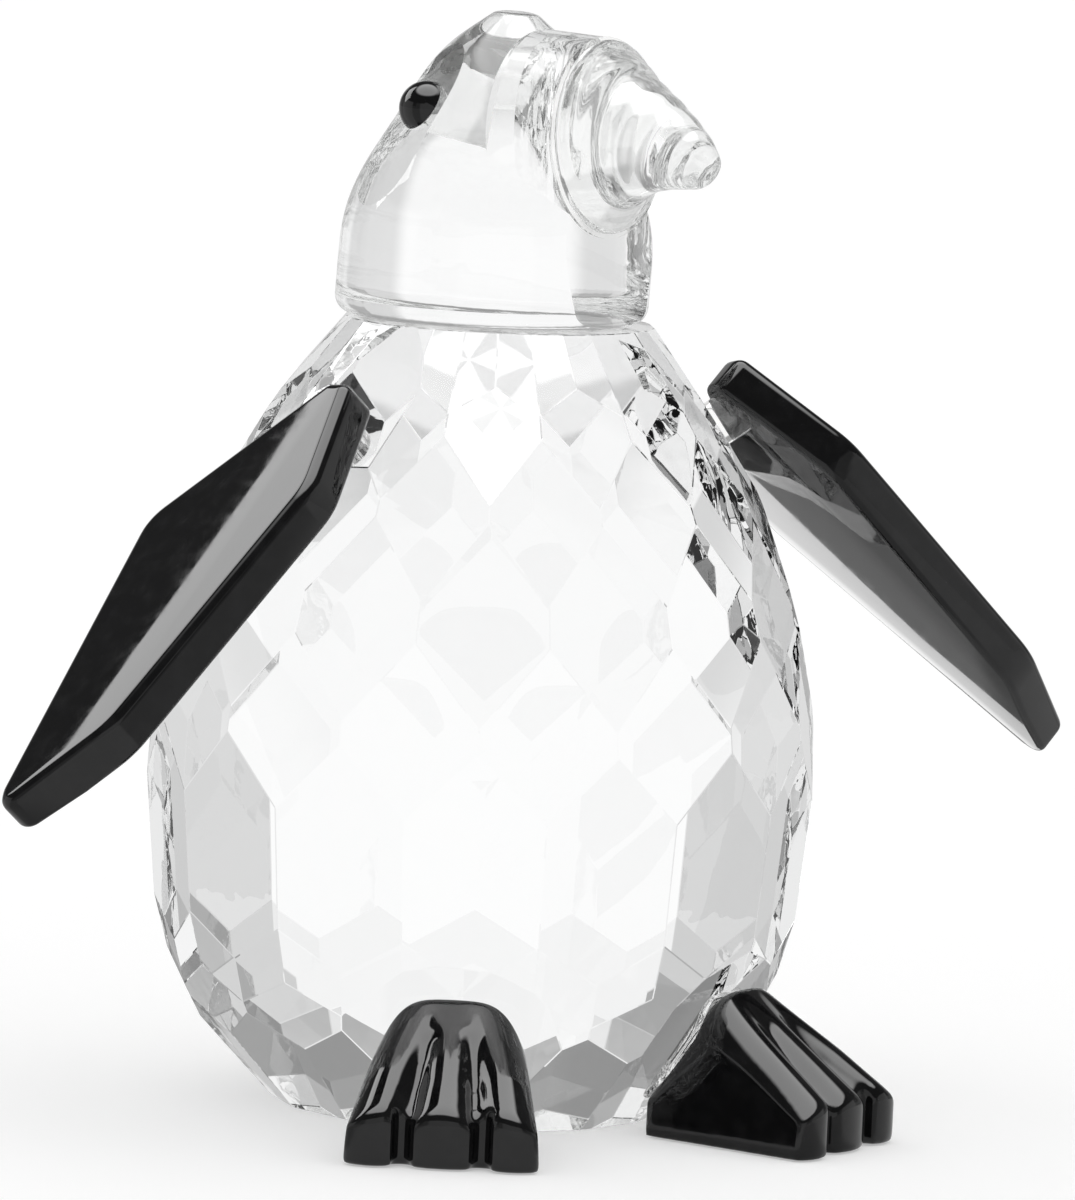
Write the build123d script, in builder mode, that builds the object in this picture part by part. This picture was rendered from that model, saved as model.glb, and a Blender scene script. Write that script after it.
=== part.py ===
"""Cut-crystal penguin figurine, about 55 mm tall.

A clear faceted body carries a smooth clear head. The beak is a ringed clear cone, and the flippers,
feet and eyes are black glass. Thin films of clear adhesive hold the pieces in ground seats.
The penguin faces -Y, +Z is up, and the origin is the centre of the body's flat base.
Left and right are the penguin's own: its left side is +X.
"""

from build123d import *
import math
import os

os.makedirs("parts", exist_ok=True)

# Body: a clear egg, cut flat all round, with a flat base and a flat neck
body_height = 39.5
belt_distance = 14.79
belt_tilt = -5.5
facets_per_row = 15
facet_turn = -8.1
blank_share = 1.19
facet_step = 360 / facets_per_row
half_step = facet_step / 2

# Facet rows above and below the belt. Each row meets the one before it at corners that lie in line
# with the belt facets' middles and with their sides. For each row: the two corner heights as shares
# of the body height, and the turn of its first facet as a share of a step from the belt's. A quarter
# turn stands for a row of twice as many facets.
upper_row_shares = [
    (0.496, 0.410, 0.5),
    (0.527, 0.628, 0),
    (0.775, 0.678, 0.5),
    (0.795, 0.876, 0),
    (0.937, 0.904, 0.25),
]
lower_row_shares = [
    (0.208, 0.256, 0.25),
    (0.152, 0.187, 0.5),
    (0.137, 0.099, 0),
]

# Adhesive films between the pieces
film = 0.12
foot_film = 0.4
eye_film = 0.08

# Head: a smooth dome with a flat foot, leaning a little towards the beak
head_height = 15.4
head_radius = 7.85
head_turn = 24.0
head_lean = 3.0
head_aside = 0.43
head_back = 0.26
head_edge_radius = 0.9
head_foot_radius = 6.8
# Outline of the dome above its straight wall: shares of the head radius and of the head height
head_wall_share = 0.17
dome_shares = [(0.975, 0.325), (0.86, 0.487), (0.715, 0.623), (0.375, 0.896), (0.172, 0.981)]

# Beak: a ringed cone with a wide root that bends down towards its tip
beak_root_radius = 5.0
beak_length = 6.6
beak_seat_out = 6.0
beak_seat_height = 9.5
beak_seat_tilt = 5.0
beak_tip_tilt = -32.0
beak_boss_depth = 3.5
beak_boss_growth = 0.45
# Rings along the beak: shares of its length and of the root radius
beak_ring_shares = [
    (0, 1.0), (0.04, 0.97), (0.09, 0.85), (0.16, 0.80), (0.23, 0.66), (0.31, 0.635),
    (0.38, 0.545), (0.46, 0.525), (0.54, 0.44), (0.62, 0.42), (0.71, 0.345), (0.79, 0.32),
    (0.87, 0.25), (0.94, 0.215), (0.98, 0.15), (1.0, 0.06),
]

# Eyes: black half-beads on small flats at the sides of the head
eye_diameter = 2.7
eye_dome = 1.1
eye_height = 10.6
eye_turn = 117.0
eye_tilt = 30.0
eye_seat_out = 4.8
eye_margin = 0.1

# Flippers: black plates with a bent outline and an inner face ground thinner along the rear edge
wing_thickness = 2.3
wing_length = 28.0
wing_chord = 10.5
wing_outer_edge_radius = 0.6
wing_bevel_tilt = 5.0
# Outline corners: share of the length from the shoulder, share of the chord towards the front,
# and the corner's radius as a share of the chord
wing_corner_shares = [
    (0.004, -0.030, 0.067),
    (-0.004, 0.105, 0.067),
    (0.214, 0.448, 0.333),
    (0.773, 0.438, 0.381),
    (1.000, 0.128, 0.080),
    (0.951, 0.026, 0.080),
    (0.366, -0.550, 0.238),
]
# The bevel starts at a line across the inner face: shares of the length and of the chord
wing_bevel_shares = [(0.360, -0.400), (0.960, 0.420)]
# How each flipper is set: droop of its length, its turn to the back and the twist of its chord, then
# the place of its seat on the body: turn from the front, and share of the body's height
wing_settings = {
    "left": (44.1, -3.1, 4.3, 63.1, 0.880),
    "right": (48.2, 1.8, -2.9, 69.1, 0.855),
}
# Each seat is a small flat ground into the facets. A wedge of adhesive joins it to the flipper's
# inner face, at a place measured along and across from the shoulder.
wing_seat_tilt = 35.0
wing_seat_depth = 0.2
wing_film = 0.9
wing_bond_along = 1.9
wing_bond_across = 0.2
wing_bond_radius = 1.2

# Feet: black wedges with three toes
foot_turns = {"left": 28.4, "right": -34.5}
foot_toe_reach = 22.3
foot_back_reach = 12.2
foot_back_height = 2.45
foot_heel_reach = 15.0
foot_heel_height = 7.0
foot_crown_reach = 15.7
foot_crown_height = 7.5
foot_toe_height = 2.7
foot_toe_width = 9.65
foot_back_width = 7.0
foot_wall_tilt = 4.0
foot_edge_radius = 0.6
foot_corner_radius = 0.9
toe_spacing = 3.9
toe_bulge = 0.6
toe_notch_radius = 0.45
valley_start_share = 0.70
valley_start_spacing = 1.9
valley_start_radius = 0.4
valley_end_radius = 1.0
foot_film_margin = 0.15

overrun = 8.0


def level(angle):
    """Level direction at an angle from the penguin's front, positive towards its left."""
    return Vector(math.sin(math.radians(angle)), -math.cos(math.radians(angle)), 0)


def tilted(angle, tilt):
    """Direction at an angle from the front and a tilt above level."""
    flat = level(angle) * math.cos(math.radians(tilt))
    return flat + Vector(0, 0, math.sin(math.radians(tilt)))


def facing(angle, tilt, reach, height):
    """Plane with its outward side at an angle and a tilt, through a point at that angle."""
    point = level(angle) * reach + Vector(0, 0, height)
    return Plane(point, x_dir=level(angle + 90), z_dir=tilted(angle, tilt))


def next_row(row, row_turn, new_turn, middle_height, side_height):
    """Tilt and distance of the facets that meet a row at corners of two heights."""
    tilt, distance = row
    sine = math.sin(math.radians(tilt))
    cosine = math.cos(math.radians(tilt))
    points = []
    for angle, height in ((0, middle_height), (half_step, side_height)):
        corner = (distance - height * sine) / cosine / math.cos(math.radians(angle - row_turn))
        points.append((corner * math.cos(math.radians(angle - new_turn)), height))
    (reach, height), (side_reach, side_height) = points
    new_tilt = math.atan((side_reach - reach) / (height - side_height))
    new_distance = reach * math.cos(new_tilt) + height * math.sin(new_tilt)
    return math.degrees(new_tilt), new_distance


def row_facets(row, row_turn):
    """Planes of all the facets of a row."""
    tilt, distance = row
    reach = distance / math.cos(math.radians(tilt))
    first_turns = (row_turn, -row_turn) if row_turn == facet_step / 4 else (row_turn,)
    planes = []
    for first in first_turns:
        for step in range(facets_per_row):
            planes.append(facing(facet_turn + first + step * facet_step, tilt, reach, 0))
    return planes


facets = row_facets((belt_tilt, belt_distance), 0)
for row_shares in (upper_row_shares, lower_row_shares):
    row = (belt_tilt, belt_distance)
    row_turn = 0
    for middle_share, side_share, turn_share in row_shares:
        new_turn = turn_share * facet_step
        row = next_row(
            row, row_turn, new_turn, middle_share * body_height, side_share * body_height
        )
        row_turn = new_turn
        facets.extend(row_facets(row, row_turn))


def body_surface(angle, height):
    """Point on the facets at an angle from the front and a height."""
    axis_point = Vector(0, 0, height)
    outward = level(angle)
    reaches = []
    for facet in facets:
        share = outward.dot(facet.z_dir)
        if share > 0:
            reaches.append((facet.origin - axis_point).dot(facet.z_dir) / share)
    return axis_point + outward * min(reaches)


wing_hands = {"left": -1, "right": 1}


def wing_seat(side):
    """Plane of the flat ground into the body under a flipper."""
    turn, height_share = wing_settings[side][-2:]
    angle = -wing_hands[side] * turn
    out = tilted(angle, wing_seat_tilt)
    surface = body_surface(angle, height_share * body_height)
    return Plane(surface - out * wing_seat_depth, z_dir=out)


wing_seats = {side: wing_seat(side) for side in wing_settings}


def wing_place(side):
    """Plane of a flipper's inner face: X runs along the flipper from its shoulder, and Z faces out."""
    hand = wing_hands[side]
    droop, back, twist = wing_settings[side][:3]
    along = tilted(90 + back, -droop)
    front = level(0)
    front = (front - along * front.dot(along)).normalized()
    out = front.cross(along).normalized()
    across = front * math.cos(math.radians(twist)) + out * math.sin(math.radians(twist))
    out = across.cross(along).normalized()
    along, out = (Vector(-hand * v.X, v.Y, v.Z) for v in (along, out))
    middle = wing_seats[side].offset(wing_film).origin
    inner = Plane(middle, x_dir=along, z_dir=out)
    shoulder = inner.from_local_coords(Vector(-wing_bond_along, -hand * wing_bond_across, 0))
    return Plane(shoulder, x_dir=along, z_dir=out)


wing_places = {side: wing_place(side) for side in wing_settings}

foot_seat_tilt = -math.degrees(
    math.atan((foot_heel_reach - foot_back_reach) / (foot_heel_height - foot_back_height))
)
foot_backs = {
    side: facing(angle, foot_seat_tilt, foot_back_reach, foot_back_height)
    for side, angle in foot_turns.items()
}
foot_seats = {side: foot_backs[side].offset(-foot_film) for side in foot_backs}

# Body

with BuildPart() as body:
    Cylinder(
        belt_distance * blank_share, body_height, align=(Align.CENTER, Align.CENTER, Align.MIN)
    )
    for facet in facets:
        split(bisect_by=facet, keep=Keep.BOTTOM)
    for side in wing_seats:
        split(bisect_by=wing_seats[side], keep=Keep.BOTTOM)
    for side in foot_seats:
        split(bisect_by=foot_seats[side], keep=Keep.BOTTOM)
body.part.label = "body"
export_step(body.part, "parts/body.step")

# Head, turned about the leaning axis of its dome and cut level at the neck

head_foot = body_height + film
head_axis_plane = Plane(
    Vector(-head_aside, head_back, head_foot),
    x_dir=level(head_turn + 90),
    z_dir=tilted(head_turn, 90 - head_lean),
)
head_outline_plane = Plane(
    head_axis_plane.origin, x_dir=head_axis_plane.y_dir, z_dir=head_axis_plane.x_dir
)


def head_seat(turn, tilt, reach, height):
    """Plane of a flat on the head, at a reach and a height from the foot of the head's axis."""
    foot_shift = head_axis_plane.z_dir * height
    point = head_axis_plane.origin + foot_shift + level(turn) * reach
    return Plane(point, x_dir=level(turn + 90), z_dir=tilted(turn, tilt))


beak_seat = head_seat(head_turn, beak_seat_tilt, beak_seat_out, beak_seat_height)
eye_turns = {"left": head_turn + eye_turn, "right": head_turn - eye_turn}
eye_seats = {
    side: head_seat(turn, eye_tilt, eye_seat_out, eye_height) for side, turn in eye_turns.items()
}

with BuildPart() as head:
    with BuildSketch(head_outline_plane) as head_outline:
        with BuildLine() as head_line:
            skirt = Line((0, -head_edge_radius), (head_radius, -head_edge_radius))
            wall = Line(skirt @ 1, (head_radius, head_height * head_wall_share))
            dome = Spline(
                wall @ 1,
                *[(head_radius * out, head_height * up) for out, up in dome_shares],
                (0, head_height),
                tangents=[(0, 1), (-1, 0)],
            )
            Line(dome @ 1, skirt @ 0)
        make_face()
    revolve(axis=Axis(head_axis_plane.origin, head_axis_plane.z_dir))
    split(bisect_by=Plane.XY.offset(head_foot), keep=Keep.TOP)
    fillet(head.faces().sort_by(Axis.Z)[0].edges(), head_edge_radius)
    with BuildSketch(beak_seat):
        Circle(beak_root_radius)
    with BuildSketch(beak_seat.offset(-beak_boss_depth)):
        Circle(beak_root_radius + beak_boss_growth)
    loft()
    split(bisect_by=beak_seat, keep=Keep.BOTTOM)
    for side in eye_seats:
        split(bisect_by=eye_seats[side], keep=Keep.BOTTOM)
head.part.label = "head"
export_step(head.part, "parts/head.step")

with BuildPart() as head_bond:
    with BuildSketch(Plane.XY.offset(body_height)):
        with Locations((-head_aside, head_back)):
            Circle(head_foot_radius)
    extrude(amount=film)
head_bond.part.label = "head_bond"
export_step(head_bond.part, "parts/head_bond.step")

# Beak, lofted through rings on planes that turn steadily downwards

beak_root = beak_seat.offset(film)
beak_rings = []
ring_place = beak_root.origin
last_share = 0
for along_share, radius_share in beak_ring_shares:
    middle_share = (along_share + last_share) / 2
    step_tilt = beak_seat_tilt + (beak_tip_tilt - beak_seat_tilt) * middle_share
    ring_tilt = beak_seat_tilt + (beak_tip_tilt - beak_seat_tilt) * along_share
    ring_step = (along_share - last_share) * beak_length
    ring_place = ring_place + tilted(head_turn, step_tilt) * ring_step
    ring_plane = Plane(
        ring_place, x_dir=level(head_turn + 90), z_dir=tilted(head_turn, ring_tilt)
    )
    beak_rings.append((ring_plane, radius_share * beak_root_radius))
    last_share = along_share

with BuildPart() as beak:
    for ring_plane, ring_radius in beak_rings:
        with BuildSketch(ring_plane):
            Circle(ring_radius)
    loft()
beak.part.label = "beak"
export_step(beak.part, "parts/beak.step")

with BuildPart() as beak_bond:
    with BuildSketch(beak_seat):
        Circle(beak_root_radius)
    extrude(amount=film)
beak_bond.part.label = "beak_bond"
export_step(beak_bond.part, "parts/beak_bond.step")

# Eyes: spherical caps with a flat back

eye_radius = eye_diameter / 2
eye_sphere_radius = (eye_radius**2 + eye_dome**2) / (2 * eye_dome)

for side, name in (("left", "eye_left"), ("right", "eye_right")):
    eye_back = eye_seats[side].offset(eye_film)
    with BuildPart() as eye:
        with Locations(eye_back.offset(eye_dome - eye_sphere_radius)):
            Sphere(eye_sphere_radius)
        split(bisect_by=eye_back, keep=Keep.TOP)
    eye.part.label = name
    export_step(eye.part, f"parts/{name}.step")
    with BuildPart() as eye_bond:
        with BuildSketch(eye_seats[side]):
            Circle(eye_radius - eye_margin)
        extrude(amount=eye_film)
    eye_bond.part.label = f"eye_bond_{side}"
    export_step(eye_bond.part, f"parts/eye_bond_{side}.step")

# Flippers and their films


def wing_bevel(inner, hand):
    """Plane of the bevel ground on a flipper's inner face along its rear edge."""
    start, end = (
        inner.from_local_coords(Vector(along * wing_length, hand * across * wing_chord, 0))
        for along, across in wing_bevel_shares
    )
    line = (end - start).normalized()
    rear = line.cross(inner.z_dir).normalized() * hand
    tilt = math.radians(wing_bevel_tilt)
    return Plane(start, x_dir=line, z_dir=rear * math.sin(tilt) - inner.z_dir * math.cos(tilt))


for side in wing_places:
    hand = wing_hands[side]
    inner = wing_places[side]
    corners = [
        Vector(along * wing_length, hand * across * wing_chord)
        for along, across, radius in wing_corner_shares
    ]
    with BuildPart() as wing:
        with BuildSketch(inner) as wing_outline:
            with BuildLine():
                Polyline(*corners, close=True)
            make_face()
            for corner, shares in zip(corners, wing_corner_shares):
                nearest = wing_outline.vertices().sort_by_distance(corner)[0]
                fillet(nearest, shares[2] * wing_chord)
        extrude(amount=wing_thickness)
        split(bisect_by=wing_bevel(inner, hand), keep=Keep.BOTTOM)
        outer_face = wing.faces().sort_by(Axis(inner.origin, inner.z_dir))[-1]
        fillet(outer_face.edges(), wing_outer_edge_radius)
    wing.part.label = f"wing_{side}"
    export_step(wing.part, f"parts/wing_{side}.step")
    with BuildPart() as wing_bond:
        with BuildSketch(wing_seats[side]):
            Circle(wing_bond_radius)
        extrude(amount=wing_thickness)
        split(bisect_by=inner, keep=Keep.BOTTOM)
    wing_bond.part.label = f"wing_bond_{side}"
    export_step(wing_bond.part, f"parts/wing_bond_{side}.step")

# Feet and their films


for side, angle in foot_turns.items():
    side_plane = Plane((0, 0, 0), x_dir=level(angle), z_dir=level(angle - 90))
    ground = Plane((0, 0, 0), x_dir=level(angle), z_dir=(0, 0, 1))
    toe_line = foot_toe_reach - toe_bulge
    half_width = foot_toe_width / 2
    toe_edges = [-half_width, -toe_spacing / 2, toe_spacing / 2, half_width]
    with BuildPart() as foot:
        with BuildSketch(side_plane) as foot_profile:
            with BuildLine():
                Polyline(
                    (foot_back_reach, 0),
                    (foot_toe_reach, 0),
                    (foot_toe_reach, foot_toe_height),
                    (foot_crown_reach, foot_crown_height),
                    (foot_heel_reach, foot_heel_height),
                    (foot_back_reach, foot_back_height),
                    close=True,
                )
            make_face()
            front_corner = foot_profile.vertices().sort_by_distance(
                (foot_toe_reach, foot_toe_height)
            )[0]
            fillet(front_corner, foot_corner_radius)
        extrude(amount=half_width, both=True)
        with BuildSketch(ground):
            with BuildLine():
                Polyline(
                    (toe_line, -half_width), (0, -half_width), (0, half_width), (toe_line, half_width)
                )
                for near, far in zip(toe_edges, toe_edges[1:]):
                    ThreePointArc(
                        (toe_line, near), (foot_toe_reach, (near + far) / 2), (toe_line, far)
                    )
            make_face()
            with Locations(*[(toe_line, edge) for edge in toe_edges[1:-1]]):
                Circle(toe_notch_radius, mode=Mode.SUBTRACT)
        extrude(amount=foot_crown_height, mode=Mode.INTERSECT)
        for sign in (-1, 1):
            rear = Vector(foot_back_reach, sign * foot_back_width / 2)
            front = Vector(toe_line, sign * half_width)
            line = (ground.from_local_coords(front) - ground.from_local_coords(rear)).normalized()
            out = line.cross(Vector(0, 0, 1)) * -sign
            tilt = math.radians(foot_wall_tilt)
            wall = Plane(
                ground.from_local_coords(rear),
                x_dir=line,
                z_dir=out * math.cos(tilt) + Vector(0, 0, math.sin(tilt)),
            )
            split(bisect_by=wall, keep=Keep.BOTTOM)
        slope = Vector(foot_crown_reach - foot_toe_reach, foot_crown_height - foot_toe_height)
        for sign in (-1, 1):
            start = ground.from_local_coords(
                (
                    foot_toe_reach + slope.X * valley_start_share,
                    sign * valley_start_spacing / 2,
                    foot_toe_height + slope.Y * valley_start_share,
                )
            )
            end = ground.from_local_coords(
                (foot_toe_reach, sign * toe_spacing / 2, foot_toe_height)
            )
            rise = side_plane.from_local_coords((-slope.Y, slope.X)).normalized() * -1
            run = (end - start).normalized()
            valley = Plane(start + rise * valley_start_radius / 2, x_dir=rise, z_dir=run)
            valley_end = Plane(
                end + run * overrun / 4 + rise * valley_end_radius / 2, x_dir=rise, z_dir=run
            )
            with BuildSketch(valley):
                Circle(valley_start_radius)
            with BuildSketch(valley_end):
                Circle(valley_end_radius)
            loft(mode=Mode.SUBTRACT)
            with Locations(valley):
                Sphere(valley_start_radius, mode=Mode.SUBTRACT)
    foot.part.label = f"foot_{side}"
    export_step(foot.part, f"parts/foot_{side}.step")
    seat = foot_seats[side]
    lean = math.tan(math.radians(foot_wall_tilt))
    low = foot_back_width / 2 - foot_back_height * lean + foot_film_margin
    high = foot_back_width / 2 - foot_heel_height * lean + foot_film_margin
    seat_length = math.hypot(foot_heel_reach - foot_back_reach, foot_heel_height - foot_back_height)
    with BuildPart() as foot_bond:
        with BuildSketch(seat) as foot_film_outline:
            with BuildLine():
                Polyline((-low, 0), (low, 0), (high, seat_length), (-high, seat_length), close=True)
            make_face()
            fillet(foot_film_outline.vertices(), foot_edge_radius)
        extrude(amount=foot_film)
    foot_bond.part.label = f"foot_bond_{side}"
    export_step(foot_bond.part, f"parts/foot_bond_{side}.step")
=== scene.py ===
"""Cut-crystal penguin figurine: finished pieces, materials, floor, light and camera."""

import math

import bmesh
import bpy
from mathutils import Matrix, Vector


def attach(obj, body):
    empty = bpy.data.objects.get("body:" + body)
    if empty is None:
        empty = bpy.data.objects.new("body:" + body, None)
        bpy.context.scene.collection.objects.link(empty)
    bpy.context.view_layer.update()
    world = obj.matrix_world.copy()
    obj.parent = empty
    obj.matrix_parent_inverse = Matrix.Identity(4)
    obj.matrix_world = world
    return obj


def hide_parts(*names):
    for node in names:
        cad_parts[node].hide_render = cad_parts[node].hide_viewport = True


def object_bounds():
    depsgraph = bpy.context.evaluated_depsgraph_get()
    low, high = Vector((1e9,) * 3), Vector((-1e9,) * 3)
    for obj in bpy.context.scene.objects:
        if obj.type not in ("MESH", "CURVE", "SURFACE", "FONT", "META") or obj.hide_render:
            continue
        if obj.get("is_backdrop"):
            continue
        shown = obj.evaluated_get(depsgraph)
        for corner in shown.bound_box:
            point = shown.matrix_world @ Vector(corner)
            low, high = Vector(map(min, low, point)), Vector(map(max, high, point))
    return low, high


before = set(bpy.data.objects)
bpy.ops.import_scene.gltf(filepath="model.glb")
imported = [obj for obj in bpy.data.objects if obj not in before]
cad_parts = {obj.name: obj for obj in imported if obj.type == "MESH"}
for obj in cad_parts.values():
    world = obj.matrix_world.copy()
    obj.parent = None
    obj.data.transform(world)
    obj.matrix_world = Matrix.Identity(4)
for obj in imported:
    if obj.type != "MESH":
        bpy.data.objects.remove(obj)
cad_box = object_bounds()

MM = 0.001
scene = bpy.context.scene

# Light turns round many times inside cut glass before it leaves
scene.cycles.max_bounces = 24
scene.cycles.glossy_bounces = 16
scene.cycles.transmission_bounces = 24


# Camera: the photograph's place and turn, worked out from the neck, the base and the feet

photo_height = 1200
focal_pixels = 10693
sensor_height = 36
camera_place = Vector((-0.27947, -0.45427, 0.08447))
camera_right = Vector((0.851006, -0.523325, 0.043817))
camera_up = Vector((0.020518, 0.116505, 0.992978))
camera_back = camera_right.cross(camera_up)

camera_data = bpy.data.cameras.new("camera")
camera_data.sensor_fit = "VERTICAL"
camera_data.sensor_height = sensor_height
camera_data.lens = focal_pixels / photo_height * sensor_height
camera_data.clip_start = 0.01
camera_data.clip_end = 20
camera = bpy.data.objects.new("camera", camera_data)
scene.collection.objects.link(camera)
turn = Matrix((camera_right, camera_up, camera_back)).transposed()
camera.matrix_world = Matrix.Translation(camera_place) @ turn.to_4x4()
scene.camera = camera


# Node helpers


def new_group(name, inputs, outputs):
    """Shader node group with named sockets, and its input and output nodes."""
    group = bpy.data.node_groups.new(name, "ShaderNodeTree")
    for socket, kind, value in inputs:
        made = group.interface.new_socket(socket, in_out="INPUT", socket_type=kind)
        if value is not None:
            made.default_value = value
    for socket, kind in outputs:
        group.interface.new_socket(socket, in_out="OUTPUT", socket_type=kind)
    return group, group.nodes.new("NodeGroupInput"), group.nodes.new("NodeGroupOutput")


def add(nodes, kind, **values):
    """Node with its properties and input values set by name."""
    node = nodes.new(kind)
    for name, value in values.items():
        if name in node.inputs:
            node.inputs[name].default_value = value
        elif name.replace("_", " ") in node.inputs:
            node.inputs[name.replace("_", " ")].default_value = value
        else:
            setattr(node, name, value)
    return node


def layered(nodes, links, start, layers):
    """Number that starts at a value and goes over to each layer's value by its mask."""
    tone = start
    for mask, value in layers:
        mix = add(nodes, "ShaderNodeMix", data_type="FLOAT")
        for socket, source in (("A", tone), ("B", value), ("Factor", mask)):
            if isinstance(source, float):
                mix.inputs[socket].default_value = source
            else:
                links.new(source, mix.inputs[socket])
        tone = mix.outputs["Result"]
    return tone


# Glass and adhesive

haze_start = 0.45
haze_full = 0.75


def polish_group():
    """Polished glass: faint waves left by the wheel and a fine haze of handling."""
    group, given, result = new_group(
        "polish",
        [
            ("Wave size", "NodeSocketFloat", 300.0),
            ("Haze size", "NodeSocketFloat", 900.0),
            ("Haze", "NodeSocketFloat", 0.02),
            ("Least", "NodeSocketFloat", 0.0),
        ],
        [("Height", "NodeSocketFloat"), ("Roughness", "NodeSocketFloat"), ("Mask", "NodeSocketFloat")],
    )
    nodes, links = group.nodes, group.links
    place = add(nodes, "ShaderNodeTexCoord")
    waves = add(nodes, "ShaderNodeTexNoise", Detail=2.0, Roughness=0.4, Distortion=0.6)
    haze = add(nodes, "ShaderNodeTexNoise", Detail=6.0, Roughness=0.6)
    curve = add(nodes, "ShaderNodeMapRange", From_Min=haze_start, From_Max=haze_full)
    amount = add(nodes, "ShaderNodeMath", operation="MULTIPLY")
    total = add(nodes, "ShaderNodeMath", operation="ADD")
    links.new(place.outputs["Object"], waves.inputs["Vector"])
    links.new(place.outputs["Object"], haze.inputs["Vector"])
    links.new(given.outputs["Wave size"], waves.inputs["Scale"])
    links.new(given.outputs["Haze size"], haze.inputs["Scale"])
    links.new(haze.outputs["Fac"], curve.inputs["Value"])
    links.new(curve.outputs["Result"], amount.inputs[0])
    links.new(given.outputs["Haze"], amount.inputs[1])
    links.new(amount.outputs[0], total.inputs[0])
    links.new(given.outputs["Least"], total.inputs[1])
    links.new(waves.outputs["Fac"], result.inputs["Height"])
    links.new(total.outputs[0], result.inputs["Roughness"])
    links.new(curve.outputs["Result"], result.inputs["Mask"])
    return group


polish = polish_group()


def glassy(name, index, clean, hazed, wave_size, haze, least=0.0, wave_depth=0.0, clear=False):
    """Glass or adhesive: its index, its tones clean and under the haze, its waves and its haze."""
    material = bpy.data.materials.new(name)
    material.use_nodes = True
    nodes, links = material.node_tree.nodes, material.node_tree.links
    nodes.clear()
    shader = add(nodes, "ShaderNodeBsdfPrincipled", Metallic=0.0, IOR=index)
    if clear:
        shader.inputs["Transmission Weight"].default_value = 1.0
    output = nodes.new("ShaderNodeOutputMaterial")
    links.new(shader.outputs["BSDF"], output.inputs["Surface"])
    effect = nodes.new("ShaderNodeGroup")
    effect.node_tree = polish
    effect.inputs["Wave size"].default_value = wave_size
    effect.inputs["Haze"].default_value = haze
    effect.inputs["Least"].default_value = least
    tint = add(nodes, "ShaderNodeMix", data_type="RGBA")
    tint.inputs["A"].default_value = (*clean, 1)
    tint.inputs["B"].default_value = (*hazed, 1)
    links.new(effect.outputs["Mask"], tint.inputs["Factor"])
    links.new(tint.outputs["Result"], shader.inputs["Base Color"])
    links.new(effect.outputs["Roughness"], shader.inputs["Roughness"])
    if wave_depth:
        bump = add(nodes, "ShaderNodeBump", Strength=1.0, Distance=wave_depth)
        links.new(effect.outputs["Height"], bump.inputs["Height"])
        links.new(bump.outputs["Normal"], shader.inputs["Normal"])
    return material


crystal_index = 1.545
clean_crystal = (0.995, 0.998, 0.998)
hazed_crystal = (0.985, 0.99, 0.99)
facet_crystal = glassy(
    "facet_crystal", crystal_index, clean_crystal, hazed_crystal, 260.0, 0.006,
    wave_depth=0.000004, clear=True,
)
dome_crystal = glassy(
    "dome_crystal", crystal_index, clean_crystal, hazed_crystal, 180.0, 0.008,
    wave_depth=0.000012, clear=True,
)
beak_crystal = glassy(
    "beak_crystal", crystal_index, clean_crystal, (0.98, 0.985, 0.985), 420.0, 0.01,
    wave_depth=0.00001, clear=True,
)

adhesive_index = 1.5
adhesive = glassy(
    "adhesive", adhesive_index, (0.99, 0.99, 0.985), (0.97, 0.97, 0.965), 900.0, 0.03,
    wave_depth=0.000002, clear=True,
)
# Cured adhesive that has gone milky under the eyes
eye_adhesive = glassy(
    "eye_adhesive", adhesive_index, (0.93, 0.93, 0.92), (0.85, 0.85, 0.84), 900.0, 0.2, least=0.25
)

# Black glass with a fire polish and a few faint smears
black_index = 1.52
clean_black = (0.0035, 0.0035, 0.0038)
hazed_black = (0.009, 0.009, 0.0095)
flipper_glass = glassy(
    "flipper_glass", black_index, clean_black, hazed_black, 120.0, 0.05,
    least=0.03, wave_depth=0.00001,
)
foot_glass = glassy(
    "foot_glass", black_index, clean_black, hazed_black, 200.0, 0.06,
    least=0.04, wave_depth=0.00002,
)
eye_glass = glassy(
    "eye_glass", black_index, clean_black, hazed_black, 300.0, 0.02,
    least=0.01, wave_depth=0.000004,
)


# Pieces: lengths in millimetres, areas in square millimetres and angles in degrees

merge_distance = 0.0005
broad_flat = 20
crease_angle = 2.0
film_flat_angle = 0.4
film_growth = 0.008


def dress(node, material):
    """Puts a finish on a CAD node that keeps its shape."""
    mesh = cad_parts[node].data
    mesh.materials.clear()
    mesh.materials.append(material)


def merged_copy(node, name):
    """Copy of a CAD node's mesh, and a bmesh of it with its loose triangles joined."""
    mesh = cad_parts[node].data.copy()
    mesh.name = name
    shape = bmesh.new()
    shape.from_mesh(mesh)
    bmesh.ops.remove_doubles(shape, verts=shape.verts, dist=merge_distance * MM)
    return mesh, shape


def stand_in(shape, mesh, node, name, material):
    """Writes a finished shape to its mesh and puts it in the place of its CAD node."""
    shape.to_mesh(mesh)
    shape.free()
    mesh.materials.clear()
    mesh.materials.append(material)
    piece = bpy.data.objects.new(name, mesh)
    scene.collection.objects.link(piece)
    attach(piece, "root")
    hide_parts(node)


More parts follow.
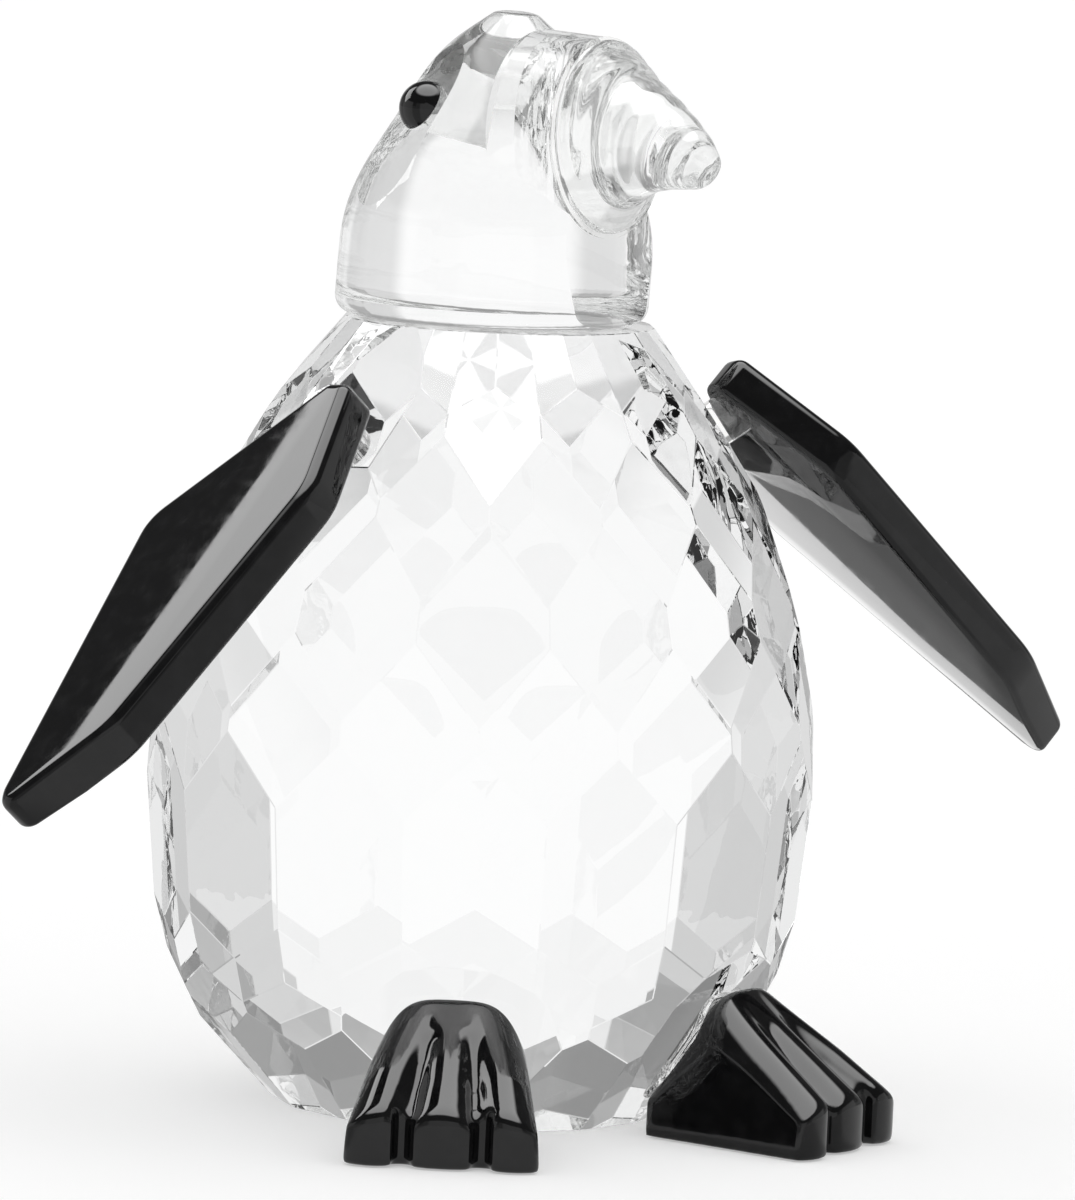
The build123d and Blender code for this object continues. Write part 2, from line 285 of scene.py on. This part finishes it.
def eased_copy(node, name, material, edge, segments, flat_angle, smooth_angle):
    """Copy of a CAD node with its flat faces made whole and its sharp edges eased."""
    mesh, shape = merged_copy(node, name)
    bmesh.ops.dissolve_limit(
        shape,
        angle_limit=math.radians(flat_angle),
        verts=shape.verts,
        edges=shape.edges,
        delimit={"NORMAL"},
    )
    sharp = [
        e for e in shape.edges
        if len(e.link_faces) == 2 and e.calc_face_angle(0) > math.radians(smooth_angle)
    ]
    bmesh.ops.bevel(
        shape,
        geom=sharp,
        offset=edge * MM,
        offset_type="OFFSET",
        segments=segments,
        profile=0.5,
        affect="EDGES",
        clamp_overlap=True,
        material=-1,
    )
    for face in shape.faces:
        face.smooth = True
    # A ground crease between two broad flats stays crisp, however slight its angle
    for crease in shape.edges:
        flats = all(face.calc_area() > broad_flat * MM**2 for face in crease.link_faces)
        limit = crease_angle if flats else smooth_angle
        crease.smooth = crease.calc_face_angle(0) < math.radians(limit)
    stand_in(shape, mesh, node, name, material)


def film_copy(node, name):
    """Copy of an adhesive film that reaches a hair into the pieces that it joins."""
    mesh, shape = merged_copy(node, name)
    bmesh.ops.dissolve_limit(
        shape, angle_limit=math.radians(film_flat_angle), verts=shape.verts, edges=shape.edges
    )
    shape.normal_update()
    moves = [(v, v.normal * v.calc_shell_factor() * film_growth * MM) for v in shape.verts]
    for vertex, move in moves:
        vertex.co += move
    stand_in(shape, mesh, node, name, adhesive)


def softened_copy(node, name, material, voxel, passes, shaping=None):
    """Copy of a CAD node with all its edges rounded as by a fire polish, after any shaping."""
    mesh, shape = merged_copy(node, name)
    shape.to_mesh(mesh)
    shape.free()
    source = bpy.data.objects.new(name + "_source", mesh)
    scene.collection.objects.link(source)
    remesh = source.modifiers.new("voxels", "REMESH")
    remesh.mode = "VOXEL"
    remesh.voxel_size = voxel * MM
    remesh.use_smooth_shade = True
    depsgraph = bpy.context.evaluated_depsgraph_get()
    finished = bpy.data.meshes.new_from_object(source.evaluated_get(depsgraph))
    finished.name = name
    bpy.data.objects.remove(source)
    shape = bmesh.new()
    shape.from_mesh(finished)
    if shaping:
        for vertex in shape.verts:
            vertex.co = shaping(vertex.co)
    for _ in range(passes):
        bmesh.ops.smooth_vert(
            shape, verts=shape.verts, factor=0.5, use_axis_x=True, use_axis_y=True, use_axis_z=True
        )
    for face in shape.faces:
        face.smooth = True
    stand_in(shape, finished, node, name, material)


# Feet: turns, reaches, heights and widths as in the CAD model
foot_turns = {"left": 28.4, "right": -34.5}
foot_back_reach = 12.2
foot_crown_reach = 15.7
foot_toe_line = 21.7
foot_toe_reach = 22.3
foot_back_height = 2.45
foot_crown_height = 7.5
foot_toe_height = 2.7
foot_back_half_width = 3.5
foot_toe_half_width = 4.83
foot_wall_tilt = 4.0
# Depth of the grooves between the toes, the reach over which they grow, and how boldly they swell
toe_groove = 1.0
toe_growth_reach = 4.0
toe_swell = 0.7
# Share of its height that the heel's corners lose, how close to the corner, and the share of it
# that ends with the toes
heel_rounding = 0.3
heel_power = 4
heel_fade = 0.7


def foot_shaping(side):
    """Moves that crown the three toes and round the heel of one foot."""
    angle = math.radians(foot_turns[side])
    forward = Vector((math.sin(angle), -math.cos(angle), 0))
    across = Vector((math.cos(angle), math.sin(angle), 0))

    def shaping(point):
        reach = point.dot(forward) / MM
        height = point.z / MM
        if reach < foot_crown_reach:
            share = (reach - foot_back_reach) / (foot_crown_reach - foot_back_reach)
            top = foot_back_height + share * (foot_crown_height - foot_back_height)
        else:
            share = (reach - foot_crown_reach) / (foot_toe_reach - foot_crown_reach)
            top = foot_crown_height + share * (foot_toe_height - foot_crown_height)
        along = (reach - foot_back_reach) / (foot_toe_line - foot_back_reach)
        half = foot_back_half_width + along * (foot_toe_half_width - foot_back_half_width)
        half -= height * math.tan(math.radians(foot_wall_tilt))
        place = max(-1.0, min(1.0, point.dot(across) / MM / half))
        toes = max(0.0, min(1.0, (reach - foot_crown_reach) / toe_growth_reach))
        # Three half waves across the foot, one for each toe
        crown = abs(math.sin(1.5 * math.pi * (place + 1))) ** toe_swell
        drop = toe_groove * toes * (1 - crown) / top
        drop += heel_rounding * abs(place) ** heel_power * (1 - heel_fade * toes)
        lift = max(0.0, min(1.0, height / top)) ** 2
        return Vector((point.x, point.y, point.z * (1 - drop * lift)))

    return shaping


dress("head", dome_crystal)
softened_copy("beak", "ringed_beak", beak_crystal, 0.1, 60)
eased_copy("body", "faceted_body", facet_crystal, 0.04, 1, 0.4, 2.0)
film_copy("head_bond", "neck_film")
film_copy("beak_bond", "beak_film")
for side in ("left", "right"):
    dress(f"eye_{side}", eye_glass)
    dress(f"eye_bond_{side}", eye_adhesive)
    film_copy(f"wing_bond_{side}", f"flipper_film_{side}")
    rounding = foot_shaping(side)
    softened_copy(
        f"foot_bond_{side}", f"foot_film_{side}", adhesive, 0.08, 4, rounding
    )
    eased_copy(
        f"wing_{side}", f"flipper_{side}", flipper_glass, 0.34, 6, 0.1, 20.0
    )
    softened_copy(
        f"foot_{side}", f"foot_black_{side}", foot_glass, 0.12, 22, rounding
    )


# Room: what clear glass shows through it and what black glass mirrors, by direction

# White cards stand at four sides, a quarter turn apart. One is turned to stand behind the figurine
# as the camera sees it. Each mask grows from its first angle to its second, in degrees
card_turn = 31.6
card_half_step = 45
left_gap_angles = (-25, -32)
right_gap_angles = (24, 31)
corner_side_angles = (-26, -31)
corner_height_angles = (6, 10)
room_angles = (19, 23)
overhead_angles = {"Through": (38, 47), "Gloss": (52, 62)}
table_angles = (-22, -36)
# Tones of the card, the gaps to its left and right, the upper part of the left gap, the room above,
# the overhead panel and the table
room_tones = {
    "Through": (0.97, 0.66, 0.68, 0.42, 0.30, 1.0, 1.03),
    "Gloss": (0.60, 0.30, 0.30, 0.15, 0.10, 4.5, 0.25),
}


def studio_group():
    """Tone of the room by direction from the figurine.

    Between the white cards it is pale grey. Above them is a darker room, up to an overhead panel,
    and straight down is the white table.
    """
    group, given, result = new_group(
        "studio",
        [("Direction", "NodeSocketVector", None)],
        [("Through", "NodeSocketFloat"), ("Gloss", "NodeSocketFloat")],
    )
    nodes, links = group.nodes, group.links
    unit = add(nodes, "ShaderNodeVectorMath", operation="NORMALIZE")
    parts = nodes.new("ShaderNodeSeparateXYZ")
    links.new(given.outputs["Direction"], unit.inputs[0])
    links.new(unit.outputs["Vector"], parts.inputs["Vector"])
    across = add(nodes, "ShaderNodeMath", operation="ARCTAN2")
    links.new(parts.outputs["X"], across.inputs[0])
    links.new(parts.outputs["Y"], across.inputs[1])
    turned = add(nodes, "ShaderNodeMath", operation="SUBTRACT")
    links.new(across.outputs[0], turned.inputs[0])
    turned.inputs[1].default_value = math.radians(card_turn)
    offset = add(nodes, "ShaderNodeMath", operation="WRAP")
    links.new(turned.outputs[0], offset.inputs[0])
    offset.inputs[1].default_value = math.radians(card_half_step)
    offset.inputs[2].default_value = math.radians(-card_half_step)
    height = add(nodes, "ShaderNodeMath", operation="ARCSINE")
    links.new(parts.outputs["Z"], height.inputs[0])

    def ramp(source, angles):
        """Mask that grows from 0 to 1 between two angles."""
        node = add(nodes, "ShaderNodeMapRange", interpolation_type="SMOOTHSTEP")
        node.inputs["From Min"].default_value = math.radians(angles[0])
        node.inputs["From Max"].default_value = math.radians(angles[1])
        links.new(source.outputs[0], node.inputs["Value"])
        return node.outputs["Result"]

    corner = add(nodes, "ShaderNodeMath", operation="MULTIPLY")
    links.new(ramp(offset, corner_side_angles), corner.inputs[0])
    links.new(ramp(height, corner_height_angles), corner.inputs[1])
    left_gap = ramp(offset, left_gap_angles)
    right_gap = ramp(offset, right_gap_angles)
    room = ramp(height, room_angles)
    table = ramp(height, table_angles)
    for socket, (card, *others) in room_tones.items():
        overhead = ramp(height, overhead_angles[socket])
        masks = (left_gap, right_gap, corner.outputs[0], room, overhead, table)
        links.new(layered(nodes, links, card, zip(masks, others)), result.inputs[socket])
    return group


studio = studio_group()


def shown_by_path(nodes, links, plain, vector):
    """Tone that each kind of ray finds: plain white for the camera, the studio for glass."""
    path = nodes.new("ShaderNodeLightPath")
    look = nodes.new("ShaderNodeGroup")
    look.node_tree = studio
    links.new(vector, look.inputs["Direction"])
    layers = [
        (path.outputs["Is Glossy Ray"], look.outputs["Gloss"]),
        (path.outputs["Is Transmission Ray"], look.outputs["Through"]),
        (path.outputs["Is Camera Ray"], 1.0),
    ]
    return layered(nodes, links, plain, layers), path


# Floor: its own glow and its paint, as the camera sees them and as glass does

floor_half_size = 6.0
floor_height = -0.00005
floor_glow = 0.38
floor_glow_in_glass = 0.85
floor_paint = 0.7
floor_paint_in_glass = 0.2


def white_floor():
    """Material that is white with a soft shadow, and shows the studio's table tone in glass."""
    material = bpy.data.materials.new("floor")
    material.use_nodes = True
    nodes, links = material.node_tree.nodes, material.node_tree.links
    nodes.clear()
    position = nodes.new("ShaderNodeTexCoord")
    tone, path = shown_by_path(nodes, links, 0.0, position.outputs["Object"])
    in_glass = add(nodes, "ShaderNodeMath", operation="ADD", use_clamp=True)
    links.new(path.outputs["Is Glossy Ray"], in_glass.inputs[0])
    links.new(path.outputs["Is Transmission Ray"], in_glass.inputs[1])
    mask = in_glass.outputs[0]
    share = add(nodes, "ShaderNodeMath", operation="MULTIPLY")
    links.new(tone, share.inputs[0])
    links.new(layered(nodes, links, floor_glow, [(mask, floor_glow_in_glass)]), share.inputs[1])
    glow = add(nodes, "ShaderNodeEmission", Strength=1.0)
    links.new(share.outputs[0], glow.inputs["Color"])
    paint = nodes.new("ShaderNodeBsdfDiffuse")
    links.new(layered(nodes, links, floor_paint, [(mask, floor_paint_in_glass)]), paint.inputs["Color"])
    both = nodes.new("ShaderNodeAddShader")
    output = nodes.new("ShaderNodeOutputMaterial")
    links.new(paint.outputs["BSDF"], both.inputs[0])
    links.new(glow.outputs["Emission"], both.inputs[1])
    links.new(both.outputs["Shader"], output.inputs["Surface"])
    return material


floor_mesh = bpy.data.meshes.new("floor")
shape = bmesh.new()
bmesh.ops.create_grid(shape, x_segments=1, y_segments=1, size=floor_half_size)
bmesh.ops.translate(shape, verts=shape.verts, vec=(0, 0, floor_height))
shape.to_mesh(floor_mesh)
shape.free()
floor_mesh.materials.append(white_floor())
floor = bpy.data.objects.new("floor", floor_mesh)
scene.collection.objects.link(floor)
floor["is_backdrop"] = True


# World: even light on the floor and the pieces, and the studio's tones in glass

world_light = 0.9

world = bpy.data.worlds.new("studio")
scene.world = world
world.use_nodes = True
nodes, links = world.node_tree.nodes, world.node_tree.links
nodes.clear()
direction = nodes.new("ShaderNodeTexCoord")
tone, path = shown_by_path(nodes, links, world_light, direction.outputs["Generated"])
light = add(nodes, "ShaderNodeBackground", Strength=1.0)
output = nodes.new("ShaderNodeOutputWorld")
links.new(tone, light.inputs["Color"])
links.new(light.outputs["Background"], output.inputs["Surface"])


# Soft panels that only reflections show: middle, two directions along the sides, size and brightness.
# The first gives the pale wedge on the right flipper, the second the pale band on the left one's bevel
panels = {
    "flipper_panel": (
        (-0.0511, 0.0865, 0.1145),
        (-0.644, -0.424, -0.642),
        (0.256, -0.907, 0.343),
        (0.09, 0.06),
        4.0,
    ),
    "bevel_panel": (
        (0.026, 0.0102, 0.0135),
        (0.645, -0.437, -0.627),
        (-0.752, -0.238, -0.608),
        (0.032, 0.005),
        2.4,
    ),
}

for name, (middle, edge, side, size, brightness) in panels.items():
    middle = Vector(middle)
    edge = Vector(edge).normalized()
    side = Vector(side).normalized()
    away = edge.cross(side)
    if away.dot(middle) < 0:
        edge = -edge
        away = -away
    data = bpy.data.lights.new(name, "AREA")
    data.shape = "RECTANGLE"
    data.size, data.size_y = size
    data.energy = brightness * size[0] * size[1] * math.pi
    lamp = bpy.data.objects.new(name, data)
    scene.collection.objects.link(lamp)
    axes = Matrix((edge, side, away)).transposed()
    lamp.matrix_world = Matrix.Translation(middle) @ axes.to_4x4()
    lamp.visible_camera = False
    lamp.visible_diffuse = False
    lamp.visible_transmission = False
    lamp.visible_volume_scatter = False

scene.view_settings.view_transform = "Standard"

size = {"cad": [list(v) for v in cad_box], "visual": [list(v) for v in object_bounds()]}
